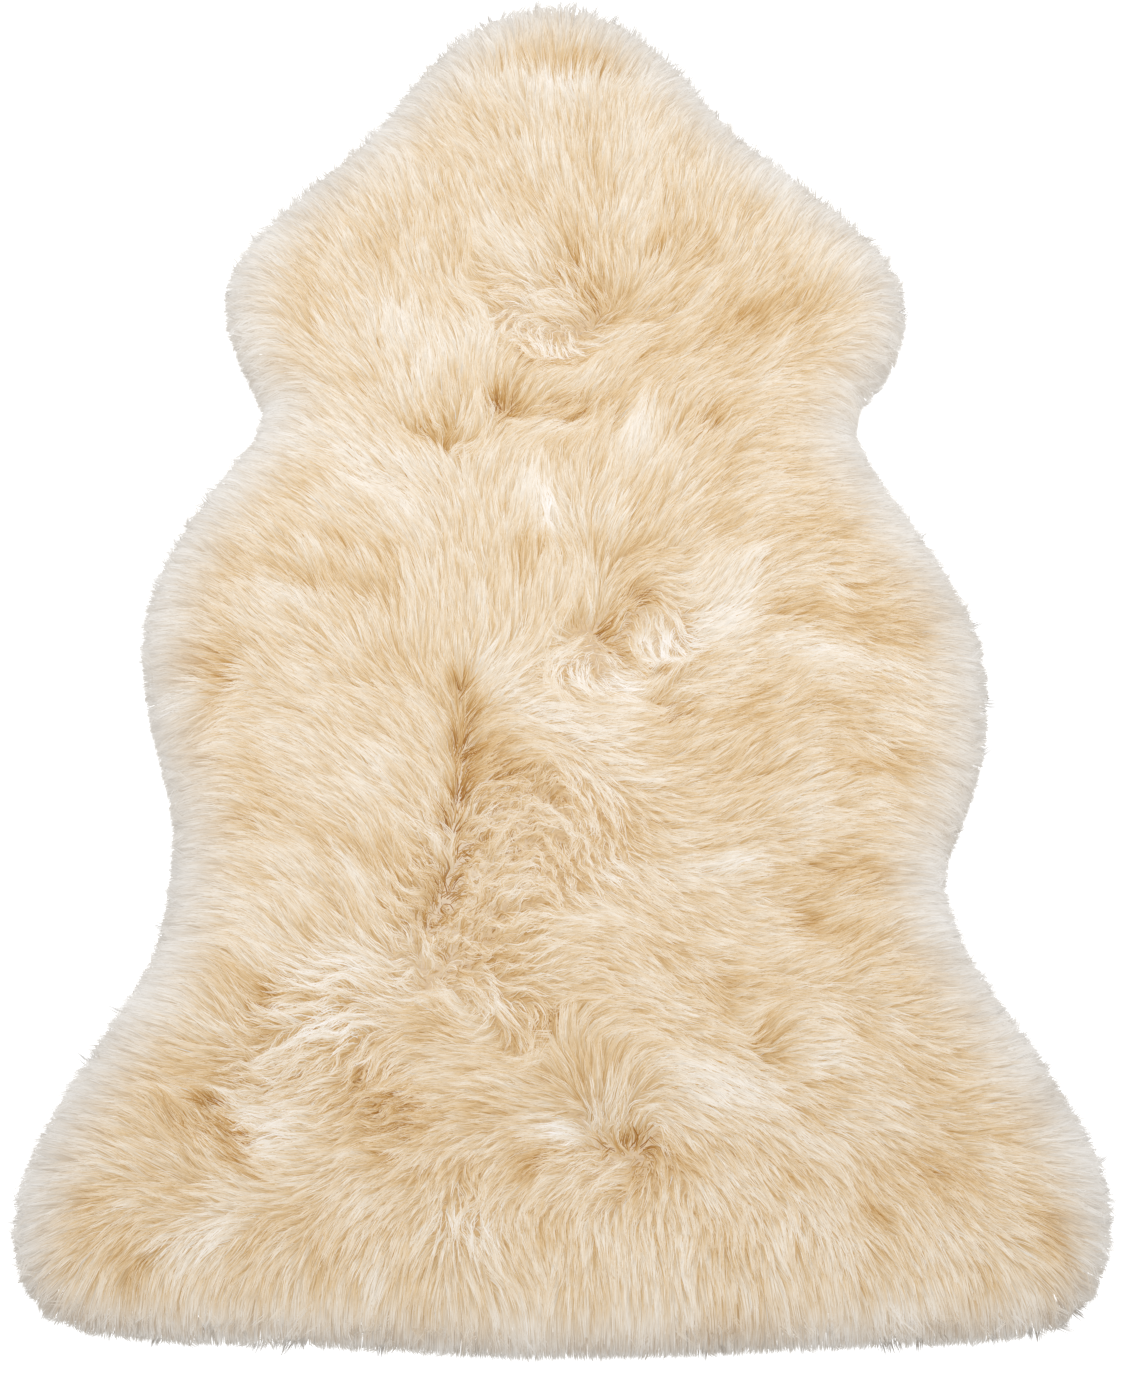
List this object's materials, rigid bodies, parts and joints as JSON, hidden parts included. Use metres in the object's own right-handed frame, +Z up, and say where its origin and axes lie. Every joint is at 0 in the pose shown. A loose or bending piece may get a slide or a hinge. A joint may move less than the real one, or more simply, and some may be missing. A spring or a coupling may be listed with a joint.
{
  "type": "sheepskin rug",
  "caption": "Whole ivory wool-on sheepskin lying flat as a rug, with its natural outline, a narrow neck end, waists at the flanks and flared hind legs.",
  "frame": {"origin": "on the floor, under the middle of the rug's length and width", "axes": "+Z up out of the wool, +Y along the skin from the tail edge towards the neck, +X across it to the right as seen from above with the neck away"},
  "size_m": [0.71, 1.05, 0.053],
  "materials": {
    "wool": "long combed ivory wool with golden roots",
    "hide": "natural suede, the flesh side of the skin"
  },
  "bodies": {
    "root": {"sheepskin": "wool"}
  },
  "joints": []
}
